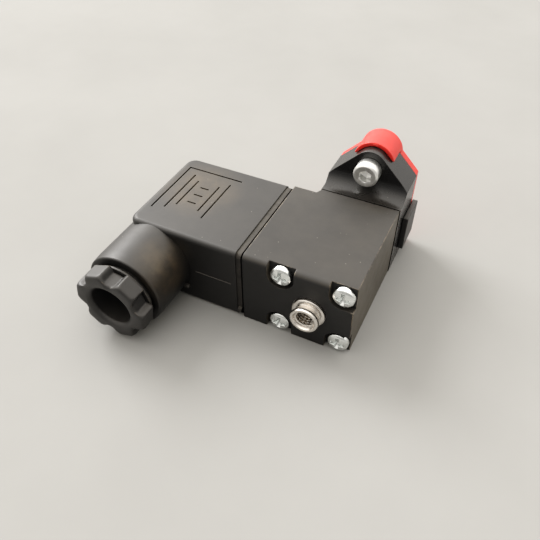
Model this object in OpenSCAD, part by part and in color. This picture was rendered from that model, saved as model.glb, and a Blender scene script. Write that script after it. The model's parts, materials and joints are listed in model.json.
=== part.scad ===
// Direct-acting 3/2-way solenoid pilot valve with a plug-on cable connector.
// Millimetres. Origin: where the solenoid axis meets the mounting face.
// +X points away from the connector, +Y out of the mounting face, +Z up.

/* [Body] */
// Height of the coil, base and connector
body_h = 22; // [21.6:0.1:23]
// Length of the coil block along the solenoid axis
coil_l = 33.5; // [33:0.5:36]
// Thickness of the flange that is clamped to the main valve
flange_t = 8.7; // [8.5:0.1:10]
// Length of the valve base between the coil and the flange
neck_l = 5.6; // [5.5:0.1:7]

/* [Solenoid] */
// Stroke of the plunger
stroke = 1.2; // [0.6:0.1:1.4]
// Outer radius of the core guide tube
tube_r = 4.4; // [4.4:0.05:4.5]
// Square pitch of the screws that clamp the coil
screw_pitch = 16; // [15.6:0.1:16]

/* [Connector] */
// Reach of the connector away from the gasket
conn_l = 31.5; // [31:0.5:34]
// Width of the connector along the solenoid axis
conn_w = 31.6; // [31:0.1:32]
// Thickness of the connector gasket
gasket_t = 1.86; // [1.5:0.02:2]
// Length of the gland barrel in front of the connector
barrel_l = 13.9; // [12:0.1:16]

/* [Mounting nose] */
// Height of the mounting screw above the solenoid axis
nose_z = 17.5; // [17.5:0.1:18]
// Thickness of the protective cover
cover_t = 2.3; // [2:0.1:3]

/* [Hidden] */
$fn = 64;
big = 200;                                // longer than the whole valve
slip = 0.05;                              // gap between parts that only touch
half = body_h / 2;
base_l = flange_t + neck_l;
front_y = -(coil_l + base_l);             // front face of coil and connector
joint_y = -base_l;                        // face where the coil meets the base
pin_at = screw_pitch / 2;

// Solenoid stack
bore_r = tube_r + slip;
core_r = tube_r - 0.4;
tube_in_r = tube_r - 0.35;
plunger_r = tube_in_r - 0.07;
core_end_y = joint_y - 18.7;
plunger_y = core_end_y + stroke + slip;
plunger_back_y = joint_y + 6.6;
tube_flange_r = 7;
tube_flange_t = 1.2;
chamber_r = 5.6;
chamber_end_y = plunger_back_y + 1.2;
collar_r = 5.3;
collar_t = 0.9;
collar_y = plunger_back_y - 1.9;
seal_r = 2.15;                            // rubber discs in the plunger's ends
seal_deep = 2;
exhaust_bore_r = 0.9;
spring_wire_r = 0.25;
spring_r = 4.8;
spring_turns = 4;
tube_ring_wire_r = 0.57;
m5_minor_r = 2.1;

// Ports of the valve base
supply_r = 1;
supply_ring_r = 2.6;
work_z = -4.9;
work_r = 0.9;
work_ring_r = 1.9;
ring_deep = 1.2;
seat_r = 2.25;
seat_l = 2.4;
seat_bore_r = 0.6;

// Screws that clamp the coil
m3_r = 1.5;
m3_hole_r = m3_r + 0.15;
m3_thread_r = m3_r + slip;                // stands for a thread in an insert
insert_r = 2.1;
insert_l = 6;
insert_y = joint_y + 0.5;

// Key on the right of the flange
key_t = 1.5;
key_y = [-7.5, 2.4];
key_z = [-7.3, 3.7];
key_pin_r = 1.15;
key_pin_deep = 2;
key_pin_y = -2.6;
key_pin_z = -1.8;

// Coil stack
notch_r = 3.5;
notch_d = 1.7;
notch_y = front_y + notch_d;
yoke_t = 1.5;
yoke_w = 12;
yoke_y0 = notch_y + 0.5;
yoke_y1 = joint_y - 1.7;
yoke_z0 = -half + 0.7;
bobbin_r = 8.8;
bobbin_y0 = yoke_y0 + yoke_t;
bobbin_y1 = yoke_y1 - yoke_t;
bobbin_flange_t = 1;
bobbin_core_r = 5.2;
winding_r = 7.9;
tape_t = 0.4;
edge_r = 1.6;                             // rounding of the coil's top front edge
foot_edge_r = 0.4;                        // and of its bottom front edge
hub_half_w = 11;                          // half width of the coil around the tube

// Connector stack, measured away from the coil along -X
coil_x = -18.2;                           // left face of the coil
gasket_x = coil_x - gasket_t;
conn_x = gasket_x - conn_l;
conn_y = front_y + conn_w / 2;            // middle of the contact pattern
gland_x = conn_x + 7;
corner_r = 1.4;
plan_r = 3;                               // rounding of the connector's left corners
shell_t = 1.7;
blade_pitch = 11;
blade_w = 6.3;
blade_t = 0.8;
blade_out = 9;
blade_in = 6;                             // how far each blade sits in the coil
earth_z = -6.5;                           // height of the earth blade
insert_nut_r = 2.2;
insert_nut_l = 6;
insert_x0 = gasket_x - 20;
socket_half_t = 1.4;
socket_l = 12.4;
socket_x = gasket_x - 0.6 - socket_l;
terminal_r = 1;
terminal_head_r = 1.7;
screw_bore_r = 3.2;

// Gland
barrel_r = 10.7;
gland_thread_r = 8;
mouth_y = front_y - barrel_l;
nut_gap = 0.9;
nut_l = 5.6;
nut_y = mouth_y - nut_gap;
nut_collar_l = 0.7;
nut_collar_r = 9.1;
nut_hole_r = 5.6;
nut_flat_r = 9.75;                        // from the axis to the flat top of a lobe
nut_root_r = 8.1;
nut_lobes = 6;
scallop_r = 2.9;
lobe_turn = -10;                          // angle of the first lobe, from +X
cable_r = 3.4;
grommet_l = 7;
grommet_y = front_y - 0.4;
grommet_r = 6.4;
washer_y = grommet_y - grommet_l - slip;
washer_t = 1;
washer_hole_r = 4.2;

// Mounting nose and screw
nose_r = 4.6;
nose_c = nose_z + 0.5;
flange_w = 11.15;
m4_r = 2;
m4_head_r = 3.45;
m4_head_h = 4;
m4_l = 16;
m4_tip = 0.5;
waist_r = 1.6;                            // plain shank that the keeper holds
thread_y = cover_t + 0.1;                 // the thread starts behind the cover
hex_flats = 3;
keeper_t = 1;
keeper_r = 3.2;
keeper_y = -0.2 - keeper_t;
keeper_bore_y = -4.6;
lip_t = 1.15;
lip_l = 5.9;

// ---- helpers -------------------------------------------------------------
module along_y(y) translate([0, y, 0]) rotate([-90, 0, 0]) children();
module yrod(y0, y1, r, x = 0, z = 0) translate([x, 0, z]) along_y(y0) cylinder(h = y1 - y0, r = r);
module yring(y0, y1, ro, ri, x = 0, z = 0) difference() {
    yrod(y0, y1, ro, x, z);
    yrod(y0 - 1, y1 + 1, ri, x, z);
}
module xrod(x0, x1, r, y = conn_y, z = 0) translate([x0, y, z]) rotate([0, 90, 0]) cylinder(h = x1 - x0, r = r);
module box(x0, x1, y0, y1, z0, z1) translate([x0, y0, z0]) cube([x1 - x0, y1 - y0, z1 - z0]);
module prism_x(x0, x1) translate([x0, 0, 0]) rotate([90, 0, 90]) linear_extrude(x1 - x0) children();
module prism_y(y0, y1) translate([0, y1, 0]) rotate([90, 0, 0]) linear_extrude(y1 - y0) children();
module prism_z(z0, z1) translate([0, 0, z0]) linear_extrude(z1 - z0) children();
module round_rect(x0, x1, y0, y1, r) {
    translate([x0 + r, y0]) square([x1 - x0 - 2 * r, y1 - y0]);
    translate([x0, y0 + r]) square([x1 - x0, y1 - y0 - 2 * r]);
    for (x = [x0 + r, x1 - r], y = [y0 + r, y1 - r]) translate([x, y]) circle(r);
}
module torus_y(y, ring_r, wire_r, x = 0, z = 0) translate([x, y, z]) rotate([-90, 0, 0])
    rotate_extrude() translate([ring_r, 0]) circle(wire_r, $fn = 24);
module four_corners() for (sx = [-1, 1], sz = [-1, 1]) translate([sx * pin_at, 0, sz * pin_at]) children();

// ---- valve base ----------------------------------------------------------
module flange_outline(gap = 0) {
    r = nose_r + gap;
    w = flange_w + gap;
    k = r * sqrt(0.5);                    // the flanks run at 45 degrees
    shoulder = nose_c + r * sqrt(2) - w;
    polygon([[-w, -half], [w, -half], [w, shoulder], [k, nose_c + k], [-k, nose_c + k], [-w, shoulder]]);
    translate([0, nose_c]) circle(r);
}
module neck_profile() {
    cove_r = 4.5;
    difference() {
        translate([joint_y, -half]) square([base_l - 1, body_h + cove_r]);
        translate([-flange_t - cove_r, half + cove_r]) circle(cove_r);
        translate([joint_y - 1, half]) square([neck_l - cove_r + 1, cove_r + 1]);
    }
}
module base_cavities() {
    yrod(joint_y - 1, joint_y + tube_flange_t + slip, tube_flange_r + slip);
    yrod(joint_y, joint_y + tube_flange_t + 2 * tube_ring_wire_r + 2 * slip, tube_flange_r - 0.3);
    yrod(joint_y, chamber_end_y, chamber_r);
    yrod(chamber_end_y - 1, 1, supply_r);
    yrod(chamber_end_y - 1, chamber_end_y + seat_l + 2 * slip, seat_r + slip);
    yrod(chamber_end_y - slip, 1, work_r, 0, work_z);
    yrod(-ring_deep, 1, supply_ring_r);
    yrod(-ring_deep, 1, work_ring_r, 0, work_z);
    four_corners() yrod(joint_y - 1, joint_y + 9.8, insert_r + slip);
    yrod(-big, 1, m4_r + 0.25, 0, nose_z);
    yrod(-flange_t - m4_head_h, -flange_t, m4_head_r + 0.3, 0, nose_z);
    yrod(keeper_bore_y, 1, keeper_r + 0.2, 0, nose_z);
    xrod(flange_w - key_pin_deep - 0.1, flange_w + 1, key_pin_r + slip, key_pin_y, key_pin_z);
}
module valve_base() color([0.05, 0.05, 0.055]) difference() {
    union() {
        prism_y(-flange_t, 0) flange_outline();
        intersection() {
            prism_x(-flange_w, flange_w) neck_profile();
            prism_y(joint_y, 0) flange_outline();
        }
    }
    base_cavities();
}
module side_key() color([0.07, 0.065, 0.06]) union() {
    box(flange_w, flange_w + key_t, key_y[0], key_y[1], key_z[0], key_z[1]);
    xrod(flange_w - key_pin_deep, flange_w + 0.5, key_pin_r, key_pin_y, key_pin_z);
}
module inlet_seat() color("gold") difference() {
    union() {
        yrod(plunger_back_y + slip, chamber_end_y + 2, 2 * seat_bore_r);
        yrod(chamber_end_y - slip * 4, chamber_end_y + seat_l, seat_r);
    }
    yrod(-big, big, seat_bore_r);
}
module screw_inserts() color("goldenrod") four_corners() yring(insert_y, insert_y + insert_l, insert_r, m3_thread_r);
module port_o_rings() color([0.08, 0.08, 0.08]) {
    torus_y(-0.62, supply_ring_r - 0.65, 0.55);
    torus_y(-0.62, work_ring_r - 0.5, 0.45, 0, work_z);
}

// ---- core tube -----------------------------------------------------------
module guide_tube() color("silver") difference() {
    union() {
        yrod(front_y + 0.2, joint_y + tube_flange_t, tube_r);
        yrod(joint_y + slip, joint_y + tube_flange_t, tube_flange_r);
    }
    yrod(-big, big, tube_in_r);
}
module tube_o_ring() color([0.08, 0.08, 0.08]) 
    torus_y(joint_y + tube_flange_t + slip + tube_ring_wire_r + 0.02, tube_flange_r - 0.88, tube_ring_wire_r);
module nipple_profile() polygon([
    [2.65, front_y - 3.6], [3.45, front_y - 3.6], [3.7, front_y - 3.35], [3.7, front_y - 2.5],
    [3.15, front_y - 2.2], [3.15, front_y - 1.1], [4.1, front_y - 0.9], [4.35, front_y - 0.7],
    [4.35, front_y + 0.15], [core_r, front_y + 0.15], [core_r, core_end_y], [3.2, core_end_y],
    [3.2, core_end_y - 0.8], [2.3, core_end_y - 0.8], [2.3, core_end_y], [1.3, core_end_y],
    [1.3, core_end_y + 0.1], [exhaust_bore_r, core_end_y + 0.1], [exhaust_bore_r, front_y + 4.3],
    [m5_minor_r, front_y + 3.1], [m5_minor_r, front_y - 3.05]]);
module core_nipple() color("gainsboro") rotate([-90, 0, 0]) rotate_extrude() nipple_profile();
module shading_ring() color("peru") yring(core_end_y - 0.75, core_end_y - 0.02, 3.15, 2.35);

// ---- plunger -------------------------------------------------------------
module plunger() color("lightsteelblue") difference() {
    yrod(plunger_y, plunger_back_y, plunger_r);
    yrod(plunger_y - 1, plunger_y + seal_deep, seal_r + slip);
    yrod(plunger_back_y - seal_deep, plunger_back_y + 1, seal_r + slip);
    for (side = [-1, 1]) translate([side * (plunger_r + 0.6), 0, 0])
        box(-1, 1, plunger_y - 1, plunger_back_y - 5, -0.8, 0.8);
}
module exhaust_seal() color([0.1, 0.1, 0.1]) yrod(plunger_y + 0.1, plunger_y + seal_deep - slip, seal_r);
module inlet_seal() color([0.1, 0.1, 0.1]) 
    yrod(plunger_back_y - seal_deep + slip, plunger_back_y - slip, seal_r);
module plunger_collar() color("darkgray") yring(collar_y, collar_y + collar_t, collar_r, plunger_r + 0.01);
spring_y0 = joint_y + tube_flange_t + slip;
spring_y1 = collar_y - slip;
spring_rise = (spring_y1 - spring_y0 - 2 * spring_wire_r) / spring_turns;
module return_spring() color("silver") for (i = [0 : spring_turns])
    torus_y(spring_y0 + spring_wire_r + i * spring_rise, spring_r, spring_wire_r);

// ---- coil ----------------------------------------------------------------
module coil_side_profile() difference() {
    translate([front_y, -half]) square([coil_l, body_h]);
    edge_cutter(front_y, half, edge_r);
    scale([1, -1]) edge_cutter(front_y, half, foot_edge_r);
}
module edge_cutter(a, b, r) difference() {
    translate([a - 1, b - r]) square([r + 1, r + 1]);
    translate([a + r, b - r]) circle(r);
}
module notches() for (sx = [-1, 1], sz = [-1, 1]) scale([sx, 1, sz]) {
    yrod(front_y - 1, notch_y, notch_r, pin_at, pin_at);
    box(pin_at - notch_r, pin_at + notch_r, front_y - 1, notch_y, pin_at, big);
    if (sx > 0) box(pin_at, big, front_y - 1, notch_y, pin_at - notch_r, big);
}
module coil_blanks() {
    w = hub_half_w;
    prism_x(-w, w) coil_side_profile();
    intersection() {
        prism_x(coil_x, 1 - w) coil_side_profile();
        prism_z(-half, half) polygon([[coil_x, front_y], [1 - w, front_y], [1 - w, joint_y - 0.2],
            [-w, joint_y - 0.2], [-w - 0.8, front_y + conn_w], [coil_x, front_y + conn_w]]);
    }
}
module yoke_shape(g) {
    box(-yoke_w / 2 - g, yoke_w / 2 + g, yoke_y0 - g, yoke_y0 + yoke_t + g, yoke_z0 - g, 8 + g);
    box(-yoke_w / 2 - g, yoke_w / 2 + g, yoke_y1 - yoke_t - g, yoke_y1 + g, yoke_z0 - g, 8 + g);
    box(-5.5 - g, 5.5 + g, yoke_y0 - g, yoke_y1 + g, yoke_z0 - g, yoke_z0 + 1.3 + g);
}
module blades(g) {
    for (s = [-1, 1]) box(coil_x - blade_out - g, coil_x + blade_in + g,
        conn_y + s * blade_pitch / 2 - blade_t / 2 - g, conn_y + s * blade_pitch / 2 + blade_t / 2 + g,
        -blade_w / 2 - g, blade_w / 2 + g);
    box(coil_x - blade_out - g, coil_x + blade_in + g, conn_y - blade_w / 2 - g, conn_y + blade_w / 2 + g,
        earth_z - blade_t / 2 - g, earth_z + blade_t / 2 + g);
}
module coil_housing() color([0.06, 0.06, 0.065]) difference() {
    coil_blanks();
    notches();
    yrod(-big, big, bore_r);
    four_corners() yrod(-big, big, m3_hole_r);
    yrod(bobbin_y0 - slip, bobbin_y1 + slip, bobbin_r + slip);
    yoke_shape(slip);
    blades(slip);
    xrod(coil_x - 1, coil_x + insert_nut_l + 0.2, insert_nut_r + slip);
    xrod(coil_x - 1, coil_x + insert_nut_l + 1.2, m3_r + 0.1);
}
module flux_yoke() color("slategray") difference() {
    yoke_shape(0);
    yrod(-big, big, bore_r);
}
module coil_bobbin() color("ivory") difference() {
    union() {
        yrod(bobbin_y0, bobbin_y1, bobbin_core_r);
        yrod(bobbin_y0, bobbin_y0 + bobbin_flange_t, bobbin_r);
        yrod(bobbin_y1 - bobbin_flange_t, bobbin_y1, bobbin_r);
    }
    yrod(-big, big, bore_r + slip);
}
winding_y0 = bobbin_y0 + bobbin_flange_t + slip;
winding_y1 = bobbin_y1 - bobbin_flange_t - slip;
module coil_winding() color("chocolate") yring(winding_y0, winding_y1, winding_r, bobbin_core_r + slip);
module coil_tape() color("khaki") yring(winding_y0, winding_y1, winding_r + slip + tape_t, winding_r + slip);
module contact_blades() color("silver") difference() {
    blades(0);
    for (s = [-1, 1]) translate([coil_x - 7, conn_y + s * blade_pitch / 2, 0]) rotate([90, 0, 0])
        cylinder(h = 4, r = 0.6, center = true);
}
module connector_insert_nut() color("goldenrod") difference() {
    xrod(coil_x, coil_x + insert_nut_l, insert_nut_r);
    xrod(coil_x - 1, coil_x + insert_nut_l + 1, m3_thread_r);
}

// ---- body screws ---------------------------------------------------------
screw_head_h = 2.2;
screw_head_r = 2.75;
screw_dome_r = 5.2;
screw_rim_h = 1.1;
screw_l = 40;
module pan_head() rotate_extrude() intersection() {
    union() {
        translate([0, screw_head_h - screw_rim_h]) square([screw_head_r, screw_rim_h]);
        translate([0, screw_dome_r - 0.02]) circle(screw_dome_r, $fn = 96);
    }
    square([screw_head_r, screw_head_h]);
}
module cross_recess() intersection() {
    translate([0, 0, -0.01]) cylinder(h = 1.7, r1 = 1.6, r2 = 0.5);
    union() for (a = [0, 90]) rotate([0, 0, a]) translate([-2, -0.34, -0.1]) cube([4, 0.68, 2]);
}
module body_screws() color("gainsboro") four_corners() along_y(notch_y - screw_head_h) difference() {
    union() {
        pan_head();
        translate([0, 0, screw_head_h - 0.1]) cylinder(h = screw_l + 0.1, r = m3_r);
    }
    cross_recess();
}

// ---- connector -----------------------------------------------------------
module disc_half() difference() {
    round_rect(-plan_r, plan_r, -half, half, corner_r);
    translate([-big, -big]) square([big, 2 * big]);
}
module corner_cut(x, y, side) translate([x, y, 0]) scale([-1, side, 1]) difference() {
    box(-1, big, -1, big, -big, big);
    box(-2, 0, -2, big, -big, big);
    box(-2, big, -2, 0, -big, big);
    rotate_extrude() disc_half();
}
module conn_outer() difference() {
    intersection() {
        prism_x(conn_x, gasket_x) round_rect(front_y, front_y + conn_w, -half, half, corner_r);
        prism_y(-big, big) round_rect(conn_x, gasket_x + 5, -half, half, corner_r);
    }
    corner_cut(conn_x + plan_r, front_y + plan_r, -1);
    corner_cut(conn_x + plan_r, front_y + conn_w - plan_r, 1);
}
rim_r = 0.55;                             // rounding of the gland's mouth
module mouth_profile(l, r0, r1) {
    translate([0, rim_r]) square([r0, l - rim_r]);
    square([r0 - rim_r, l]);
    translate([r0 - rim_r, rim_r]) circle(rim_r, $fn = 32);
    polygon([[r0 - rim_r, rim_r], [r0, rim_r], [r1, l], [r0 - rim_r, l]]);
}
module barrel() translate([gland_x, 0, 0]) {
    end_l = 3;                            // length of the tapers at both ends
    along_y(mouth_y) rotate_extrude() mouth_profile(end_l, barrel_r - 0.15, barrel_r);
    along_y(mouth_y + end_l) cylinder(h = barrel_l, r = barrel_r);
    along_y(mouth_y + end_l + barrel_l) cylinder(h = end_l, r1 = barrel_r, r2 = barrel_r - 2.5);
}
line_w = 0.42;
groove_deep = 0.35;
module groove(x0, x1, y0, y1) box(x0, x1, y0, y1, half - groove_deep, half + 1);
module side_groove(x, y, reach) groove(x - line_w / 2, x + line_w / 2, y - reach, y + reach);
module top_pattern() {
    x0 = conn_x + 2.6;
    y1 = front_y + conn_w - 4.6;
    mid_x = x0 + 9;
    mid_y = front_y + 16.2;
    bar_step = 3.4;
    groove(x0, x0 + line_w, front_y + 6.8, y1);
    groove(x0, x0 + 16.8, y1 - line_w, y1);
    for (s = [-1, 1]) {
        side_groove(mid_x + s * 5.6, mid_y, 8);
        side_groove(mid_x + s * 3.3, mid_y, 5.8);
    }
    for (k = [-1 : 1]) translate([0, k * bar_step, 0])
        groove(mid_x - 1.3, mid_x + 1.3, mid_y - line_w / 2, mid_y + line_w / 2);
}
module connector_housing() color([0.06, 0.06, 0.065]) difference() {
    union() {
        difference() {
            union() {
                conn_outer();
                barrel();
            }
            box(conn_x + shell_t, gasket_x + 1, front_y + shell_t, front_y + conn_w - shell_t,
                -half + shell_t, half - shell_t);
        }
        xrod(conn_x + 0.5, insert_x0 - slip, screw_bore_r + 0.4);
        box(conn_x + 1, gland_x + 9, front_y + 1, front_y + shell_t + 1.5, -half + 1, half - 1);
    }
    top_pattern();
    xrod(conn_x - 5, conn_x + 3.4, screw_bore_r);
    xrod(conn_x - 5, 0, m3_hole_r);
    yrod(mouth_y - 1, washer_y - washer_t, gland_thread_r + slip, gland_x);
    translate([gland_x, 0, 0]) along_y(mouth_y - slip)
        cylinder(h = 0.6, r1 = gland_thread_r + 0.6, r2 = gland_thread_r);
    yrod(mouth_y - 1, grommet_y + slip, grommet_r + 0.1, gland_x);
    yrod(mouth_y, front_y + 6, washer_hole_r, gland_x);
}
module gasket_shape(x0, x1, inset) prism_x(x0, x1)
    round_rect(front_y + inset, front_y + conn_w - inset, -half + inset, half - inset, corner_r);
module connector_gasket() color([0.24, 0.21, 0.19]) difference() {
    union() {
        gasket_shape(gasket_x, coil_x, 0.25);
        translate([(gasket_x + coil_x) / 2, front_y + 0.35, -half + 2.4]) rotate([0, 90, 0])
            cylinder(h = gasket_t - 0.6, r = 0.9, center = true);
    }
    blades(0.2);
    xrod(-big, 0, m3_hole_r + slip);
}
module contact_insert() color([0.16, 0.16, 0.17]) difference() {
    box(insert_x0, gasket_x - slip, conn_y - 12, conn_y + 12, -9, 9);
    xrod(-big, 0, m3_hole_r);
    sockets(slip);
    blades(0.2);
    terminals(slip);
    terminal_heads(0.1);
    for (s = [-1, 1]) wire_slot(s);
}
module wire_slot(s) box(insert_x0 - 1, insert_x0 + 3, conn_y + s * 9 - 1.6, conn_y + s * 9 + 1.6, -10, 10);
module sockets(g) {
    w = blade_w / 2 + 0.45 + g;
    t = socket_half_t + g;
    for (s = [-1, 1]) box(socket_x - g, socket_x + socket_l + g,
        conn_y + s * blade_pitch / 2 - t, conn_y + s * blade_pitch / 2 + t, -w, w);
    box(socket_x - g, socket_x + socket_l + g, conn_y - w, conn_y + w, earth_z - t, earth_z + t);
}
module contact_sockets() color("darkkhaki") difference() {
    sockets(0);
    blades(0.08);
    terminals(slip);
}
module terminals(g) {
    for (s = [-1, 1]) xrod(socket_x - 4, socket_x + 2.5 + g, terminal_r + g, conn_y + s * blade_pitch / 2, 0);
    xrod(socket_x - 4, socket_x + 2.5 + g, terminal_r - 0.1 + g, conn_y, earth_z);
}
module terminal_heads(g) {
    for (s = [-1, 1]) xrod(insert_x0 - 1.6, socket_x - 3.9 + g, terminal_head_r + g, conn_y + s * blade_pitch / 2, 0);
    xrod(insert_x0 - 1.6, socket_x - 3.9 + g, terminal_head_r - 0.1 + g, conn_y, earth_z);
}
module terminal_screws() color("silver") difference() {
    union() {
        terminals(0);
        terminal_heads(0);
    }
    box(insert_x0 - 2, insert_x0 - 0.9, conn_y - 8, conn_y + 8, -0.3, 0.3);
    box(insert_x0 - 2, insert_x0 - 0.9, conn_y - 3, conn_y + 3, earth_z - 0.3, earth_z + 0.3);
}
module connector_screw() color("gainsboro") difference() {
    union() {
        xrod(conn_x + 0.6, conn_x + 2.9, screw_head_r);
        xrod(conn_x + 2.8, coil_x + insert_nut_l - 0.4, m3_r);
    }
    box(conn_x, conn_x + 1.7, conn_y - 4, conn_y + 4, -0.4, 0.4);
}
module screw_seal() color([0.1, 0.1, 0.1]) difference() {
    xrod(conn_x + 2.95, conn_x + 3.38, screw_head_r + 0.1);
    xrod(-big, 0, m3_r + slip);
}

// ---- gland ---------------------------------------------------------------
module gland_grommet() color([0.12, 0.12, 0.12]) yring(grommet_y - grommet_l, grommet_y, grommet_r, cable_r, gland_x);
module gland_washer() color("darkgray") 
    yring(washer_y - washer_t, washer_y, grommet_r - slip, washer_hole_r, gland_x);
module lobe_outline() difference() {
    rotate(lobe_turn - 30) circle(nut_flat_r / cos(30), $fn = nut_lobes);
    for (i = [1 : nut_lobes]) rotate(lobe_turn + (i - 0.5) * 360 / nut_lobes)
        translate([nut_root_r + scallop_r, 0]) circle(scallop_r);
}
module gland_nut() color([0.07, 0.07, 0.075]) translate([gland_x, 0, 0]) difference() {
    union() {
        prism_y(nut_y - nut_l, nut_y - nut_collar_l + slip) lobe_outline();
        yrod(nut_y - nut_collar_l, nut_y, nut_collar_r);
        yrod(nut_y - 0.1, washer_y - washer_t - 2 * slip, gland_thread_r - slip);
    }
    yrod(-big, big, nut_hole_r);
    along_y(nut_y - nut_l - slip) cylinder(h = 0.9, r1 = nut_hole_r + 0.9, r2 = nut_hole_r);
}

// ---- cover and mounting screw --------------------------------------------
module protective_cover() color([0.85, 0.2, 0.17]) difference() {
    union() {
        prism_y(0, cover_t) difference() {
            flange_outline();
            translate([flange_w - 0.1, -big]) square([big, 2 * big]);
        }
        difference() {
            yrod(-lip_l, cover_t, nose_r + lip_t, 0, nose_c);
            prism_y(-big, 0) flange_outline(slip);
            prism_y(-big, 0) polygon([[-20, nose_c + 1.5], [20, nose_c + 1.5], [20, -20], [-20, -20]]);
        }
        yrod(-ring_deep + 2 * slip, 0.5, supply_r - 0.15);
    }
    yrod(-big, big, 2.4, 0, nose_z);
}
module screw_keeper() color("ivory") yring(keeper_y, keeper_y + keeper_t, keeper_r, waist_r + slip, 0, nose_z);
module mounting_screw() color("gainsboro") translate([0, 0, nose_z]) difference() {
    union() {
        along_y(-flange_t - m4_head_h) cylinder(h = 0.35, r1 = m4_head_r - 0.35, r2 = m4_head_r);
        yrod(-flange_t - m4_head_h + 0.35, -flange_t, m4_head_r);
        yrod(-flange_t - 0.1, thread_y + 0.1, waist_r);
        yrod(thread_y, -flange_t + m4_l - m4_tip, m4_r);
        along_y(-flange_t + m4_l - m4_tip) cylinder(h = m4_tip, r1 = m4_r, r2 = m4_r - m4_tip);
    }
    along_y(-flange_t - m4_head_h - 1) cylinder(h = 3.1, r = hex_flats / sqrt(3), $fn = 6);
}

valve_base();
side_key();
inlet_seat();
screw_inserts();
port_o_rings();
guide_tube();
tube_o_ring();
core_nipple();
shading_ring();
plunger();
exhaust_seal();
inlet_seal();
plunger_collar();
return_spring();
coil_housing();
flux_yoke();
coil_bobbin();
coil_winding();
coil_tape();
contact_blades();
connector_insert_nut();
body_screws();
connector_gasket();
connector_housing();
contact_insert();
contact_sockets();
terminal_screws();
connector_screw();
screw_seal();
gland_grommet();
gland_washer();
gland_nut();
protective_cover();
screw_keeper();
mounting_screw();
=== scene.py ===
import bpy
import bmesh
import json
import math
from mathutils import Euler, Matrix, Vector


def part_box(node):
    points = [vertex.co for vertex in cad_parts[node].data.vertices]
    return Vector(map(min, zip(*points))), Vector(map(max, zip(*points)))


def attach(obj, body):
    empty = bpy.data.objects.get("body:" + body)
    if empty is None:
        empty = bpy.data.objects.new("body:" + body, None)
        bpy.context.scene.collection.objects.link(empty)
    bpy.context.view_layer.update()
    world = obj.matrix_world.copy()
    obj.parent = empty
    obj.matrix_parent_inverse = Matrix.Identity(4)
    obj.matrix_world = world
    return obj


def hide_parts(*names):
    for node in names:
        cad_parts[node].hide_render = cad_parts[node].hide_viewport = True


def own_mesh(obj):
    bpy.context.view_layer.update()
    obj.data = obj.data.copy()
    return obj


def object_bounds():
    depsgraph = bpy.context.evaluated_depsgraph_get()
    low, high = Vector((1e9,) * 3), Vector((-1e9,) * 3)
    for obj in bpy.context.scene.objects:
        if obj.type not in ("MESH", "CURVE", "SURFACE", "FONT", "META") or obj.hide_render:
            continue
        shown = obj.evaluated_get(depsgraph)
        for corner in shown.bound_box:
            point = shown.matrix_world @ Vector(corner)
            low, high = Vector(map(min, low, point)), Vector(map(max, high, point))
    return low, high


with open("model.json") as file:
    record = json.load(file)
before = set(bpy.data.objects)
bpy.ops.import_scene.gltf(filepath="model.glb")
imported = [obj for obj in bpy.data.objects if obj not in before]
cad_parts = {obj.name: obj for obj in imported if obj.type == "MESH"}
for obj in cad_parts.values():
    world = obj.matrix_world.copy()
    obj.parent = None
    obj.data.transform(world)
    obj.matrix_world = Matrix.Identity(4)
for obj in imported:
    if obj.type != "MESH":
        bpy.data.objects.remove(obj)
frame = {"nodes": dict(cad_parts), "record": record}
cad_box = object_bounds()
MM = 0.001
SLOT_OF = {row["node"]: row["material_slot"] for row in frame["record"]["subparts"]}


# ---- the frame ------------------------------------------------------------
class Box:
    """A CAD node's box, with its middle and half sizes."""

    def __init__(self, node):
        self.low, self.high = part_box(node)
        self.middle = (self.low + self.high) / 2
        self.half = (self.high - self.low) / 2


def body_with(node):
    """The name of the body that a CAD node rides on."""
    bodies = frame["record"]["behaviour"]["bodies"]
    return next(body for body, members in bodies.items() if node in members)


# ---- node helpers ---------------------------------------------------------
# The Mix node has two inputs and an output for each kind of value: their places by kind.
MIX_SOCKETS = {"VECTOR": (4, 5, 1), "RGBA": (6, 7, 2)}
CORNER_SAMPLES = 6


def new_material(name):
    mat = bpy.data.materials.new(name)
    mat.use_nodes = True
    tree = mat.node_tree
    shader = tree.nodes["Principled BSDF"]
    return mat, tree, shader


def link(tree, out_socket, in_socket):
    tree.links.new(out_socket, in_socket)


def mapped_coords(tree, stretch=None):
    """Positions in metres, scaled along each axis if stretch is given."""
    source = tree.nodes.new("ShaderNodeTexCoord").outputs["Object"]
    if not stretch:
        return source
    mapping = tree.nodes.new("ShaderNodeMapping")
    mapping.inputs["Scale"].default_value = stretch
    link(tree, source, mapping.inputs["Vector"])
    return mapping.outputs["Vector"]


def noise(tree, scale, detail=4.0, rough=0.55, stretch=None):
    node = tree.nodes.new("ShaderNodeTexNoise")
    node.inputs["Scale"].default_value = scale
    node.inputs["Detail"].default_value = detail
    node.inputs["Roughness"].default_value = rough
    link(tree, mapped_coords(tree, stretch), node.inputs["Vector"])
    return node.outputs["Fac"]


def ramp(tree, source, stops):
    node = tree.nodes.new("ShaderNodeValToRGB")
    elements = node.color_ramp.elements
    while len(elements) < len(stops):
        elements.new(0.5)
    for element, (at, colour) in zip(elements, stops):
        element.position = at
        element.color = (*colour, 1.0)
    link(tree, source, node.inputs["Fac"])
    return node.outputs["Color"]


def span(tree, source, low, high, from_low=0.0, from_high=1.0):
    """Low where the source is from_low or less, high where it is from_high or more, and even between them."""
    node = tree.nodes.new("ShaderNodeMapRange")
    node.inputs["From Min"].default_value = from_low
    node.inputs["From Max"].default_value = from_high
    node.inputs["To Min"].default_value = low
    node.inputs["To Max"].default_value = high
    link(tree, source, node.inputs["Value"])
    return node.outputs["Result"]


def set_or_link(tree, socket, value):
    if isinstance(value, tuple):
        socket.default_value = (*value, 1.0)
    elif isinstance(value, (int, float)):
        socket.default_value = value
    else:
        link(tree, value, socket)


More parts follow.
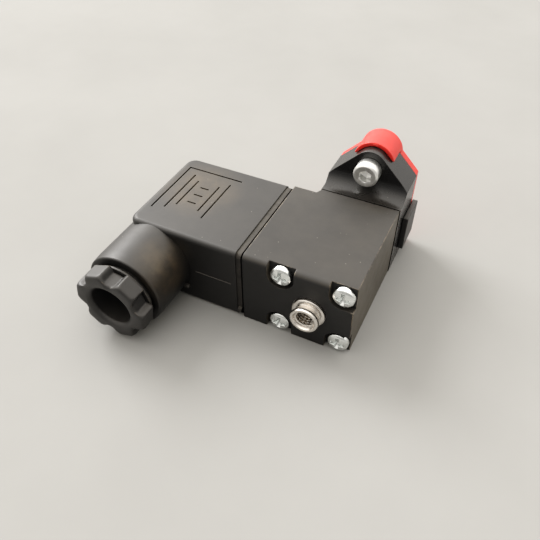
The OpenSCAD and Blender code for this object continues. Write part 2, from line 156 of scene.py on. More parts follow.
def mix(tree, kind, fac, a, b):
    """Value a where fac is 0 and b where it is 1."""
    first, second, result = MIX_SOCKETS[kind]
    node = tree.nodes.new("ShaderNodeMix")
    node.data_type = kind
    link(tree, fac, node.inputs["Factor"])
    set_or_link(tree, node.inputs[first], a)
    set_or_link(tree, node.inputs[second], b)
    return node.outputs[result]


def blend_colour(tree, fac, a, b):
    return mix(tree, "RGBA", fac, a, b)


def maths(tree, kind, a, b, clamp=False):
    node = tree.nodes.new("ShaderNodeMath")
    node.operation = kind
    node.use_clamp = clamp
    set_or_link(tree, node.inputs[0], a)
    set_or_link(tree, node.inputs[1], b)
    return node.outputs[0]


def times(tree, a, b):
    return maths(tree, "MULTIPLY", a, b)


def bump(tree, height, distance, strength=1.0, normal=None):
    node = tree.nodes.new("ShaderNodeBump")
    node.inputs["Strength"].default_value = strength
    node.inputs["Distance"].default_value = distance
    link(tree, height, node.inputs["Height"])
    if normal is not None:
        link(tree, normal, node.inputs["Normal"])
    return node.outputs["Normal"]


def soft_edges(tree, radius):
    """The normal of the same surface with its outer edges rounded, and a mask that is 1 along them."""
    bevel = tree.nodes.new("ShaderNodeBevel")
    bevel.samples = CORNER_SAMPLES
    bevel.inputs["Radius"].default_value = radius
    geometry = tree.nodes.new("ShaderNodeNewGeometry")
    dot = tree.nodes.new("ShaderNodeVectorMath")
    dot.operation = "DOT_PRODUCT"
    link(tree, bevel.outputs["Normal"], dot.inputs[0])
    link(tree, geometry.outputs["Normal"], dot.inputs[1])
    bend = maths(tree, "SUBTRACT", 1.0, dot.outputs["Value"])
    outer = span(tree, openness(tree, 2 * radius), 0.0, 1.0, 0.8, 0.95)
    rounded = mix(tree, "VECTOR", outer, geometry.outputs["Normal"], bevel.outputs["Normal"])
    return rounded, times(tree, maths(tree, "MULTIPLY", bend, 4.0, clamp=True), outer)


def openness(tree, distance):
    """1 on open ground and outer edges, less in corners and recesses."""
    node = tree.nodes.new("ShaderNodeAmbientOcclusion")
    node.samples = CORNER_SAMPLES
    node.inputs["Distance"].default_value = distance
    return node.outputs["AO"]


def facing(tree, axis, start, end):
    """0 where the surface's normal has less than start along the axis, 1 where it has more than end."""
    geometry = tree.nodes.new("ShaderNodeNewGeometry")
    split = tree.nodes.new("ShaderNodeSeparateXYZ")
    link(tree, geometry.outputs["Normal"], split.inputs[0])
    return span(tree, split.outputs[axis], 0.0, 1.0, start, end)


def place(tree, axis):
    """The position along one axis."""
    split = tree.nodes.new("ShaderNodeSeparateXYZ")
    link(tree, mapped_coords(tree), split.inputs[0])
    return split.outputs[axis]


def open_edges(tree, corner, band):
    """1 within the band along a block's top, bottom and right-hand edges, fading out before its back."""
    up = maths(tree, "ABSOLUTE", place(tree, "Z"), 0.0)
    reach = maths(tree, "MAXIMUM", place(tree, "X"), up)
    outline = span(tree, reach, 0.0, 1.0, corner.x - band, corner.x - 0.5 * band)
    ahead = span(tree, place(tree, "Y"), 1.0, 0.0, corner.y - 2 * band, corner.y - band)
    return times(tree, outline, ahead)


def patch(tree, centre, reach):
    """1 at the centre of a cloudy patch and 0 at its reach."""
    distance = tree.nodes.new("ShaderNodeVectorMath")
    distance.operation = "DISTANCE"
    link(tree, mapped_coords(tree), distance.inputs[0])
    distance.inputs[1].default_value = centre
    near = span(tree, distance.outputs["Value"], 1.0, 0.0, 0.35 * reach, reach)
    clouds = span(tree, noise(tree, 160, 5, 0.65), 0.3, 1.0, 0.35, 0.65)
    return times(tree, near, clouds)


def specks(tree, spacing, size, share):
    """Small round spots, spacing apart, of which only a share is kept."""
    cells = tree.nodes.new("ShaderNodeTexVoronoi")
    cells.inputs["Scale"].default_value = 1 / spacing
    link(tree, mapped_coords(tree), cells.inputs["Vector"])
    near = span(tree, cells.outputs["Distance"], 1.0, 0.0, 0.5 * size / spacing, size / spacing)
    split = tree.nodes.new("ShaderNodeSeparateColor")
    link(tree, cells.outputs["Color"], split.inputs[0])
    kept = maths(tree, "LESS_THAN", split.outputs["Red"], share)
    return times(tree, near, kept)


# ---- materials ------------------------------------------------------------
# Settled dust, also laid on as a painted sheen on faces that look up.
DUST_AND_SHEEN = (0.17, 0.148, 0.118)
RUBBER_DUST = (0.14, 0.125, 0.1)
GRIT = (0.45, 0.42, 0.37)
# A painted reflection that lightens faces which look to the right.
SIDE_REFLECTION_TINT = (0.2, 0.175, 0.14)
BROWN_STAIN = (0.15, 0.112, 0.068)
# Painted shade for the corners and recesses of metal parts.
CORNER_SHADE_COLOUR = (0.06, 0.055, 0.05)
JOINT_SHADOW = (0.003, 0.003, 0.003)
# Edge colours that stand partly for rubbed wear and partly for a painted edge highlight.
WORN_AND_HIGHLIT_GREY = (0.16, 0.15, 0.14)
WORN_AND_HIGHLIT_BROWN = (0.36, 0.3, 0.225)
BLACK = (0.016, 0.0155, 0.015)


def shades(colour, factor):
    return tuple(c * factor for c in colour)


def joint_line(tree, shader, colour, axis, edge, width, shine):
    """The colour with a dark, dull line that ends at the plane, or starts there if its width is negative."""
    line = span(tree, place(tree, axis), 0.0, 1.0, edge - width, edge - 0.7 * width)
    link(tree, span(tree, line, shine, 0.0), shader.inputs["Specular IOR Level"])
    return blend_colour(tree, line, colour, JOINT_SHADOW)


def moulded_plastic(name, base, wear_and_highlight_colour=WORN_AND_HIGHLIT_GREY, edge=0.35, wear_and_highlight=0.5, rough=(0.44, 0.52), dust=0.1,
                    side_reflection=0.0, corner=None, stains=(), dust_and_sheen_film=(0.12, 0.5, 0.95), shine=0.65, joint_y=None):
    """Glass-filled moulding: fine grain, faint clouds, lighter edges that are partly wear and partly a
    painted highlight, and a little dust where it faces up, which is partly a painted sheen.

    edge is the radius of its softened edges in mm, which the wear-and-highlight strength turns towards the
    wear-and-highlight colour: with a corner, only along that block's open edges. dust is the share of specks
    kept, the side strength sets a patchy painted reflection on the right-hand side, and stains are
    (centre, reach, strength). The film gives the amount of dust and painted sheen, and how far up a face has
    to look for it to start and to be full. With joint_y a dark joint line runs there."""
    mat, tree, shader = new_material(name)
    normal, edges = soft_edges(tree, edge * MM)
    colour = ramp(tree, noise(tree, 140, 5, 0.6), [(0.35, shades(base, 0.88)), (0.65, base)])
    # Lighter edges: partly rubbed wear and partly a painted edge highlight.
    worn_and_highlit_edges = times(tree, edges, span(tree, noise(tree, 300, 5, 0.7), 0.0, wear_and_highlight, 0.42, 0.72))
    if corner is not None:
        worn_and_highlit_edges = times(tree, worn_and_highlit_edges, open_edges(tree, corner, 0.9 * MM))
    colour = blend_colour(tree, worn_and_highlit_edges, colour, wear_and_highlight_colour)
    # Faces that look up take a lighter dust colour: partly settled dust and partly a painted sheen.
    amount, start, full = dust_and_sheen_film
    upward = facing(tree, "Z", start, full)
    dust_and_sheen_haze = span(tree, noise(tree, 90, 4, 0.6), 0.5 * amount, amount, 0.35, 0.7)
    colour = blend_colour(tree, times(tree, upward, dust_and_sheen_haze), colour, DUST_AND_SHEEN)
    grit = times(tree, specks(tree, 1.6 * MM, 0.15 * MM, dust), upward)
    colour = blend_colour(tree, times(tree, grit, 0.45), colour, GRIT)
    # Painted reflection: faces that look to the right are lightened in patches.
    if side_reflection:
        painted_side_reflection = span(tree, noise(tree, 60, 5, 0.6), 0.15, side_reflection)
        painted_side_reflection = times(tree, painted_side_reflection, facing(tree, "X", 0.7, 0.95))
        colour = blend_colour(tree, painted_side_reflection, colour, SIDE_REFLECTION_TINT)
    for centre, reach, strength in stains:
        stain = times(tree, patch(tree, centre, reach), strength)
        colour = blend_colour(tree, stain, colour, BROWN_STAIN)
    shader.inputs["Specular IOR Level"].default_value = shine
    if joint_y is not None:
        colour = joint_line(tree, shader, colour, "Y", joint_y, -0.3 * MM, shine)
    link(tree, colour, shader.inputs["Base Color"])
    polish = span(tree, noise(tree, 300, 5, 0.65), rough[0], rough[1], 0.3, 0.7)
    link(tree, polish, shader.inputs["Roughness"])
    relief = bump(tree, noise(tree, 5200, 3, 0.6), 0.008 * MM, 0.6, normal)
    relief = bump(tree, noise(tree, 230, 2, 0.5), 0.02 * MM, 0.25, relief)
    link(tree, relief, shader.inputs["Normal"])
    return mat


def plated_metal(name, base, rough, stretch=(1, 1, 1), edge=0.1, corner_shade=0.2, metallic=1.0):
    """Plated or turned metal: fine tool marks, cloudy plating, softened edges with a painted highlight, and
    painted shade in the corners.

    edge is in mm, and stretch lays the tool marks out along an axis."""
    mat, tree, shader = new_material(name)
    shader.inputs["Metallic"].default_value = metallic
    normal, edges = soft_edges(tree, edge * MM)
    colour = ramp(tree, noise(tree, 900, 4, 0.6), [(0.35, shades(base, 0.88)), (0.62, base)])
    # Painted highlight: the edges take a lighter copy of the base colour.
    colour = blend_colour(tree, times(tree, edges, 0.5), colour, shades(base, 1.2))
    # Painted shade: corners and recesses are darkened where little is open around them.
    painted_corner_shade = span(tree, openness(tree, 0.5 * MM), corner_shade, 0.0, 0.2, 0.75)
    colour = blend_colour(tree, painted_corner_shade, colour, CORNER_SHADE_COLOUR)
    link(tree, colour, shader.inputs["Base Color"])
    marks = noise(tree, 2200, 3, 0.6, stretch)
    link(tree, span(tree, marks, rough[0], rough[1], 0.3, 0.7), shader.inputs["Roughness"])
    link(tree, bump(tree, marks, 0.003 * MM, 0.5, normal), shader.inputs["Normal"])
    return mat


def rubber(name, base, bloom_and_highlight, joint_x=None):
    """Nitrile rubber with a pale bloom in patches, and a painted highlight in the same pale colour along its
    edges. With joint_x a dark joint line runs along that plane.
    """
    mat, tree, shader = new_material(name)
    normal, edges = soft_edges(tree, 0.2 * MM)
    colour = ramp(tree, noise(tree, 420, 5, 0.65), [(0.42, base), (0.72, bloom_and_highlight)])
    # Painted highlight: the edges are lightened towards the pale colour.
    colour = blend_colour(tree, times(tree, edges, 0.15), colour, bloom_and_highlight)
    settled = times(tree, facing(tree, "Z", 0.5, 0.95), span(tree, noise(tree, 500), 0.05, 0.4))
    colour = blend_colour(tree, settled, colour, RUBBER_DUST)
    if joint_x is not None:
        colour = joint_line(tree, shader, colour, "X", joint_x, 0.55 * MM, 0.5)
    link(tree, colour, shader.inputs["Base Color"])
    link(tree, span(tree, noise(tree, 900), 0.6, 0.8), shader.inputs["Roughness"])
    link(tree, bump(tree, noise(tree, 3000, 3), 0.012 * MM, 0.6, normal), shader.inputs["Normal"])
    return mat


def red_moulding(name):
    """Soft coral-red polyethylene, waxy and slightly translucent, with faint flow lines, and edges lightened
    partly by scuffs and partly by a painted highlight.
    """
    deep_red = (0.68, 0.042, 0.033)
    coral_red = (0.78, 0.062, 0.048)
    scuffed_and_highlit_red = (0.9, 0.22, 0.19)
    mat, tree, shader = new_material(name)
    normal, edges = soft_edges(tree, 0.3 * MM)
    colour = ramp(tree, noise(tree, 180, 4), [(0.3, deep_red), (0.7, coral_red)])
    # Lighter salmon edges: partly scuffs and partly a painted highlight.
    worn_and_highlit_edges = times(tree, edges, span(tree, noise(tree, 700, 4), 0.1, 0.5, 0.35, 0.7))
    colour = blend_colour(tree, worn_and_highlit_edges, colour, scuffed_and_highlit_red)
    link(tree, colour, shader.inputs["Base Color"])
    link(tree, span(tree, noise(tree, 400, 4), 0.34, 0.46), shader.inputs["Roughness"])
    shader.inputs["Subsurface Weight"].default_value = 0.25
    shader.inputs["Subsurface Radius"].default_value = (1.2 * MM, 0.4 * MM, 0.3 * MM)
    shader.inputs["Subsurface Scale"].default_value = 1.0
    flow = noise(tree, 700, 2, 0.5, (1, 0.15, 1))
    link(tree, bump(tree, flow, 0.008 * MM, 0.4, normal), shader.inputs["Normal"])
    return mat


def pale_moulding(name, base, rough, coat=0.0):
    """Unfilled moulding or tape: cloudy colour, a light grain, a painted highlight along the edges, and a
    clear coat if one is given.
    """
    mat, tree, shader = new_material(name)
    normal, edges = soft_edges(tree, 0.15 * MM)
    colour = ramp(tree, noise(tree, 500, 4), [(0.3, shades(base, 0.85)), (0.7, base)])
    # Painted highlight: the edges take a lighter copy of the base colour.
    colour = blend_colour(tree, times(tree, edges, 0.25), colour, shades(base, 1.1))
    link(tree, colour, shader.inputs["Base Color"])
    link(tree, span(tree, noise(tree, 800), rough, rough + 0.15), shader.inputs["Roughness"])
    shader.inputs["Coat Weight"].default_value = coat
    link(tree, bump(tree, noise(tree, 3000, 3), 0.008 * MM, 0.5, normal), shader.inputs["Normal"])
    return mat


def wound_wire(name):
    """Enamelled copper turns seen as fine ridges along the winding, with painted shade in the grooves
    between them.
    """
    shaded_groove_brown = (0.16, 0.05, 0.02)
    crest_copper = (0.6, 0.23, 0.09)
    mat, tree, shader = new_material(name)
    wave = tree.nodes.new("ShaderNodeTexWave")
    wave.wave_type = "BANDS"
    wave.bands_direction = "Y"
    wave.inputs["Scale"].default_value = 1600
    wave.inputs["Distortion"].default_value = 0.4
    link(tree, mapped_coords(tree), wave.inputs["Vector"])
    # Painted shade: the grooves between turns are dark brown, the crests copper.
    colour = ramp(tree, wave.outputs["Fac"], [(0.1, shaded_groove_brown), (0.7, crest_copper)])
    link(tree, colour, shader.inputs["Base Color"])
    shader.inputs["Metallic"].default_value = 0.7
    link(tree, span(tree, noise(tree, 700), 0.25, 0.4), shader.inputs["Roughness"])
    link(tree, bump(tree, wave.outputs["Fac"], 0.08 * MM), shader.inputs["Normal"])
    return mat


def connector_stains():
    """Brown handling marks: on the top around the moulded bars, and on the cable entry's right-hand side."""
    shell = Box("connector_housing")
    nut = Box("gland_nut")
    bars = Vector((shell.low.x + 14 * MM, shell.high.y - 12.5 * MM, shell.high.z))
    entry = Vector((nut.middle.x + 8 * MM, nut.high.y + 1.0 * MM, 5.5 * MM))
    return [(bars, 13 * MM, 0.45), (entry, 9 * MM, 0.5)]


def coil_moulding():
    """The coil's block: a paler black, with dust and a painted sheen on top, a painted reflection on its
    right-hand faces, and lighter brown along its open edges, partly wear and partly a painted highlight.
    """
    return moulded_plastic("coil_moulding", (0.024, 0.0237, 0.0235), WORN_AND_HIGHLIT_BROWN, edge=0.5, wear_and_highlight=2.2,
                           dust=0.35, side_reflection=0.7, corner=Box("coil_housing").high, dust_and_sheen_film=(0.2, 0.3, 0.6),
                           shine=0.45)


def base_moulding():
    """The valve's base: a glossier black, with a dark joint line where it meets the coil."""
    return moulded_plastic("base_moulding", (0.014, 0.014, 0.0145), edge=0.3, wear_and_highlight=0.6, rough=(0.22, 0.31),
                           joint_y=Box("valve_base").low.y)


def gasket_nitrile():
    """The gasket's rubber, with a dark joint line where it meets the coil."""
    seam_x = Box("connector_gasket").high.x
    return rubber("gasket_nitrile", (0.022, 0.02, 0.018), (0.055, 0.05, 0.044), joint_x=seam_x)


MATERIALS = {
    "black_plastic": moulded_plastic("black_moulding", BLACK),
    "coil_plastic": coil_moulding(),
    "base_plastic": base_moulding(),
    "connector_plastic": moulded_plastic("connector_moulding", BLACK, stains=connector_stains()),
    "nut_plastic": moulded_plastic("nut_moulding", (0.027, 0.0262, 0.0255), WORN_AND_HIGHLIT_BROWN, edge=0.3, wear_and_highlight=1.6),
    "flash": moulded_plastic("rubbed_flash", (0.07, 0.066, 0.06), edge=0.1, wear_and_highlight=0.8),
    "dark_insert": moulded_plastic("dark_moulding", (0.03, 0.029, 0.028)),
    "gasket_rubber": gasket_nitrile(),
    "black_rubber": rubber("nitrile", (0.014, 0.014, 0.014), (0.035, 0.033, 0.03)),
    "brass": plated_metal("turned_brass", (0.75, 0.55, 0.25), (0.25, 0.4)),
    "stainless": plated_metal("stainless", (0.6, 0.6, 0.6), (0.22, 0.38)),
    "nickelled_steel": plated_metal("nickel", (0.8, 0.76, 0.71), (0.2, 0.3), stretch=(0.3, 2, 0.3), edge=0.05,
                                    corner_shade=0.0),
    "zinced_steel": plated_metal("zinc", (0.86, 0.88, 0.87), (0.17, 0.29), edge=0.05, corner_shade=0.85),
    "cap_screw_zinc": plated_metal("bright_zinc", (0.92, 0.92, 0.9), (0.28, 0.42), edge=0.05, corner_shade=0.4,
                                   metallic=0.95),
    "tinned_copper": plated_metal("tin", (0.65, 0.64, 0.6), (0.3, 0.45)),
    "copper": wound_wire("copper_wire"),
    "steel_sheet": plated_metal("yoke_steel", (0.3, 0.3, 0.31), (0.35, 0.55)),
    "pale_nylon": pale_moulding("nylon", (0.7, 0.67, 0.58), 0.4),
    "coil_tape": pale_moulding("tape", (0.6, 0.5, 0.2), 0.3, coat=0.3),
    "red_plastic": red_moulding("red_cover"),
}
OWN_FINISH = {
    "coil_housing": "coil_plastic",
    "valve_base": "base_plastic",
    "connector_housing": "connector_plastic",
}


# ---- CAD nodes ------------------------------------------------------------
def shading_group(angle):
    """Edges sharper than the angle stay crisp, and every other edge is shaded smooth."""
    group = bpy.data.node_groups.new("smooth_shading", "GeometryNodeTree")
    group.interface.new_socket("Geometry", in_out="INPUT", socket_type="NodeSocketGeometry")
    group.interface.new_socket("Geometry", in_out="OUTPUT", socket_type="NodeSocketGeometry")
    start = group.nodes.new("NodeGroupInput")
    end = group.nodes.new("NodeGroupOutput")
    plain = group.nodes.new("GeometryNodeRemoveAttribute")
    plain.inputs["Name"].default_value = "custom_normal"
    faces = group.nodes.new("GeometryNodeSetShadeSmooth")
    faces.domain = "FACE"
    edges = group.nodes.new("GeometryNodeSetShadeSmooth")
    edges.domain = "EDGE"
    edges.inputs["Shade Smooth"].default_value = False
    corner = group.nodes.new("GeometryNodeInputMeshEdgeAngle")
    sharper = group.nodes.new("FunctionNodeCompare")
    sharper.data_type = "FLOAT"
    sharper.operation = "GREATER_THAN"
    sharper.inputs[1].default_value = angle
    link(group, start.outputs[0], plain.inputs["Geometry"])
    link(group, plain.outputs["Geometry"], faces.inputs["Geometry"])
    link(group, corner.outputs["Unsigned Angle"], sharper.inputs[0])
    link(group, faces.outputs["Geometry"], edges.inputs["Geometry"])
    link(group, sharper.outputs[0], edges.inputs["Selection"])
    link(group, edges.outputs["Geometry"], end.inputs[0])
    return group


SMOOTH = shading_group(math.radians(32))
SHARP = math.radians(38)
COPLANAR = math.radians(1.0)
WELD_GAP = 0.002 * MM
# Widths in mm of the edges rounded in the mesh itself.
EDGE_WIDTH = {"coil_housing": 0.25, "valve_base": 0.3, "side_key": 0.3, "protective_cover": 0.3}


def shade_smooth(obj):
    """Smooth shading that leaves large flat faces flat."""
    smooth = obj.modifiers.new("smooth", "NODES")
    smooth.node_group = SMOOTH
    weighted = obj.modifiers.new("weighted", "WEIGHTED_NORMAL")
    weighted.mode = "FACE_AREA"
    weighted.keep_sharp = True


def round_true_edges(obj, width):
    """A small radius in the mesh itself on every sharp edge."""
    flat = obj.modifiers.new("flat", "DECIMATE")
    flat.decimate_type = "DISSOLVE"
    flat.angle_limit = COPLANAR
    bevel = obj.modifiers.new("edge", "BEVEL")
    bevel.width = width * MM
    bevel.segments = 3
    bevel.limit_method = "ANGLE"
    bevel.angle_limit = SHARP
    bevel.use_clamp_overlap = True
    bevel.miter_outer = "MITER_ARC"


def finish_cad_node(node, obj):
    finish = OWN_FINISH.get(node, SLOT_OF[node])
    obj.data.materials.clear()
    obj.data.materials.append(MATERIALS[finish])
    weld = obj.modifiers.new("weld", "WELD")
    weld.merge_threshold = WELD_GAP
    if node in EDGE_WIDTH:
        round_true_edges(obj, EDGE_WIDTH[node])
    shade_smooth(obj)


# ---- making pieces --------------------------------------------------------
POINT_R = 0.1 * MM


def bridge(bm, first, second):
    """Faces between two closed rings of as many points."""
    count = len(first)
    for i in range(count):
        k = (i + 1) % count
        bm.faces.new((first[i], first[k], second[k], second[i]))


def new_object(bm, name, finish):
    """Turns the bmesh into an object with this finish."""
    mesh = bpy.data.meshes.new(name)
    bm.to_mesh(mesh)
    bm.free()
    mesh.materials.append(MATERIALS[finish])
    obj = bpy.data.objects.new(name, mesh)
    bpy.context.scene.collection.objects.link(obj)
    return obj


def stand_for(obj, node):
    """The piece takes the CAD node's place and body, and the CAD node is hidden."""
    shade_smooth(obj)
    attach(obj, body_with(node))
    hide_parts(node)


def turned(name, finish, centre, rings, segments, loop):
    """A piece turned about an axis along Y, from rings of (y, radius).

    A radius may be a function of the angle, and y a function of the radius. With loop the last ring joins the
    first, as in a sleeve. Otherwise both ends close."""
    bm = bmesh.new()
    rows = []
    for y, radius in rings:
        row = []
        for i in range(segments):
            angle = 2 * math.pi * i / segments
            r = radius(angle) if callable(radius) else radius
            level = y(r) if callable(y) else y
            row.append(bm.verts.new((centre.x + r * math.cos(angle), level, centre.z + r * math.sin(angle))))
        rows.append(row)
    pairs = list(zip(rows, rows[1:]))
    if loop:
        pairs.append((rows[-1], rows[0]))
    for first, second in pairs:
        bridge(bm, first, second)
    if not loop:
        for (y, radius), row in ((rings[0], rows[0]), (rings[-1], rows[-1])):
            tip = bm.verts.new((centre.x, y, centre.z))
            for i in range(segments):
                bm.faces.new((tip, row[i], row[(i + 1) % segments]))
    bmesh.ops.recalc_face_normals(bm, faces=bm.faces)
    return new_object(bm, name, finish)


def thread_rings(y0, y1, minor, major, pitch, steps):
    """Rings of a screw thread with rounded crests and roots, fading in and out over half a turn."""
    rings = []
    count = round(abs(y1 - y0) / pitch * steps)
    for k in range(count + 1):
        y = y0 + (y1 - y0) * k / count
        fade = min(1, 2 * k / steps, 2 * (count - k) / steps)

        def radius(angle, y=y, fade=fade):
            phase = (y / pitch - angle / (2 * math.pi)) % 1
            wave = min(1, max(0, 2.6 * (1 - abs(2 * phase - 1)) - 0.8))
            return major - (major - minor) * fade * wave

        rings.append((y, radius))
    return rings


def hexagon(flats):
    """Radius by angle of a hexagon, flats across flats, with softly rounded corners."""
    corner_r = 0.56 * flats

    def radius(angle):
        side = (angle + math.pi / 6) % (math.pi / 3) - math.pi / 6
        return min(0.5 * flats / math.cos(side), corner_r)
    return radius


def knurled(outer_r, depth, teeth):
    """Radius by angle of a knurled head."""
    def radius(angle):
        return outer_r - depth * abs(math.sin(0.5 * teeth * angle))
    return radius


def cross(arm, half_w):
    """Radius by angle of a cross recess."""
    def radius(angle):
        off = (angle + math.pi / 4) % (math.pi / 2) - math.pi / 4
        side = half_w / max(abs(math.sin(off)), 0.001)
        return min(side, arm / math.cos(off))
    return radius


def lobed(flat_r, root_r, lobes, turn, top_half, floor_half, inset):
    """Radius by angle of a grip with flat-topped lobes, flat valley floors and steep, round-edged walls."""
    step = 2 * math.pi / lobes

    def radius(angle):
        off = abs((angle - turn + step / 2) % step - step / 2)
        rise = min(1, max(0, (off - top_half) / (floor_half - top_half)))
        wall = rise * rise * (3 - 2 * rise)
        top = flat_r / math.cos(off)
        floor = root_r / math.cos(step / 2 - off)
        return top + (floor - top) * wall - inset
    return radius


# ---- turned pieces --------------------------------------------------------
def add_mounting_screw():
    """M4 socket cap screw with a knurled head.

    Its shank is waisted behind the thread, so that the keeper holds it."""
    box = Box("mounting_screw")
    head_y = box.low.y
    tip_y = box.high.y
    seat_y = head_y + 4.0 * MM
    thread_y = Box("protective_cover").high.y + 0.1 * MM
    head_r = box.half.x
    face_r = 2.9 * MM
    waist_r = 1.6 * MM
    m4_r = 2.0 * MM
    m4_root_r = 1.64 * MM
    m4_pitch = 0.7 * MM
    socket = hexagon(3.2 * MM)
    socket_y = head_y + 2.1 * MM
    socket_rim_r = 1.95 * MM
    crimp = knurled(head_r, 0.05 * MM, 60)
    rings = [
        (socket_y + 0.6 * MM, POINT_R),
        (socket_y, socket),
        (head_y + 0.12 * MM, socket),
        (head_y, socket_rim_r),
        (head_y, face_r),
        (head_y + 0.1 * MM, face_r + 0.15 * MM),
        (head_y + 0.35 * MM, head_r - 0.08 * MM),
        (head_y + 0.45 * MM, crimp),
        (seat_y - 0.5 * MM, crimp),
        (seat_y - 0.35 * MM, head_r - 0.1 * MM),
        (seat_y - 0.1 * MM, head_r - 0.12 * MM),
        (seat_y, head_r - 0.25 * MM),
        (seat_y, waist_r),
        (thread_y, waist_r),
        (thread_y + 0.3 * MM, m4_r - 0.05 * MM),
    ]
    rings += thread_rings(thread_y + 0.35 * MM, tip_y - 0.5 * MM, m4_root_r, m4_r, m4_pitch, steps=12)
    rings += [(tip_y, 1.45 * MM), (tip_y, POINT_R)]
    screw = turned("cap_screw", "cap_screw_zinc", box.middle, rings, segments=192, loop=False)
    stand_for(screw, "mounting_screw")


def add_body_screws():
    """Four long M3 pan-head screws with a cross recess, threaded where they enter their inserts."""
    box = Box("body_screws")
    head_y = box.low.y
    seat_y = head_y + 2.2 * MM
    tip_y = box.high.y
    thread_y = tip_y - 9.0 * MM
    head_r = 2.75 * MM
    dome_r = 5.2 * MM
    m3_r = 1.5 * MM
    m3_root_r = 1.24 * MM
    m3_pitch = 0.5 * MM
    from_axis = box.half.x - head_r

    def dome(r):
        return head_y + dome_r - math.sqrt(dome_r ** 2 - r ** 2)

    def recess_rim(r):
        return dome(r) + 0.06 * MM

    rim_y = dome(head_r)
    rings = [
        (head_y + 1.5 * MM, cross(0.4 * MM, 0.16 * MM)),
        (head_y + 0.9 * MM, cross(1.45 * MM, 0.42 * MM)),
        (recess_rim, cross(1.8 * MM, 0.5 * MM)),
        (dome, cross(1.86 * MM, 0.56 * MM)),
        (dome, 2.05 * MM),
        (dome, 2.22 * MM),
        (dome, 2.45 * MM),
        (rim_y - 0.03 * MM, 2.66 * MM),
        (rim_y + 0.12 * MM, head_r),
        (seat_y - 0.15 * MM, head_r),
        (seat_y, head_r - 0.15 * MM),
        (seat_y, m3_r),
        (thread_y - 0.2 * MM, m3_r),
    ]
    rings += thread_rings(thread_y, tip_y - 0.4 * MM, m3_root_r, m3_r, m3_pitch, steps=8)
    rings += [(tip_y, 1.15 * MM), (tip_y, POINT_R)]
    places = [(side, up) for side in (-1, 1) for up in (-1, 1)]
    for number, (side, up) in enumerate(places, 1):
        centre = Vector((side * from_axis, 0, up * from_axis))
        screw = turned(f"body_screw_{number}", SLOT_OF["body_screws"], centre, rings, segments=96, loop=False)
        stand_for(screw, "body_screws")


def add_core_nipple():
    """The solenoid core: a nipple threaded inside its outer end, with a long plug inside the guide tube."""
    box = Box("core_nipple")
    tip_y = box.low.y
    front_y = Box("coil_housing").low.y
    seat_y = box.high.y
    pole_y = seat_y - 0.1 * MM
    groove_y = pole_y - 0.8 * MM
    flange_r = box.half.x
    core_r = 4.0 * MM
    bead_r = 3.7 * MM
    neck_r = 3.15 * MM
    lip_r = 3.0 * MM
    groove_r = (3.2 * MM, 2.3 * MM)
    seat_r = 1.3 * MM
    bore_r = 0.9 * MM
    thread_r = 2.68 * MM
    root_r = 2.25 * MM
    pitch = 0.8 * MM
    rings = [
        (tip_y + 0.35 * MM, thread_r + 0.1 * MM),
        (tip_y + 0.06 * MM, lip_r - 0.08 * MM),
        (tip_y, lip_r + 0.05 * MM),
        (tip_y, bead_r - 0.35 * MM),
        (tip_y + 0.08 * MM, bead_r - 0.15 * MM),
        (tip_y + 0.3 * MM, bead_r - 0.04 * MM),
        (tip_y + 0.45 * MM, bead_r),
        (tip_y + 0.95 * MM, bead_r),
        (tip_y + 1.12 * MM, bead_r - 0.08 * MM),
        (tip_y + 1.35 * MM, neck_r + 0.05 * MM),
        (tip_y + 1.5 * MM, neck_r),
        (front_y - 1.15 * MM, neck_r),
        (front_y - 1.0 * MM, neck_r + 0.15 * MM),
        (front_y - 0.95 * MM, 3.95 * MM),
        (front_y - 0.85 * MM, 4.2 * MM),
        (front_y - 0.65 * MM, flange_r),
        (front_y + 0.1 * MM, flange_r),
        (front_y + 0.15 * MM, core_r),
        (pole_y, core_r),
        (pole_y, groove_r[0]),
        (groove_y, groove_r[0]),
        (groove_y, groove_r[1]),
        (pole_y, groove_r[1]),
        (pole_y, seat_r),
        (seat_y, seat_r - 0.05 * MM),
        (seat_y, bore_r),
        (front_y + 4.3 * MM, bore_r),
        (front_y + 3.2 * MM, 2.1 * MM),
    ]
    rings += thread_rings(front_y + 3.0 * MM, tip_y + 0.45 * MM, root_r, thread_r, pitch, steps=14)
    nipple = turned("exhaust_nipple", SLOT_OF["core_nipple"], box.middle, rings, segments=96, loop=True)
    stand_for(nipple, "core_nipple")


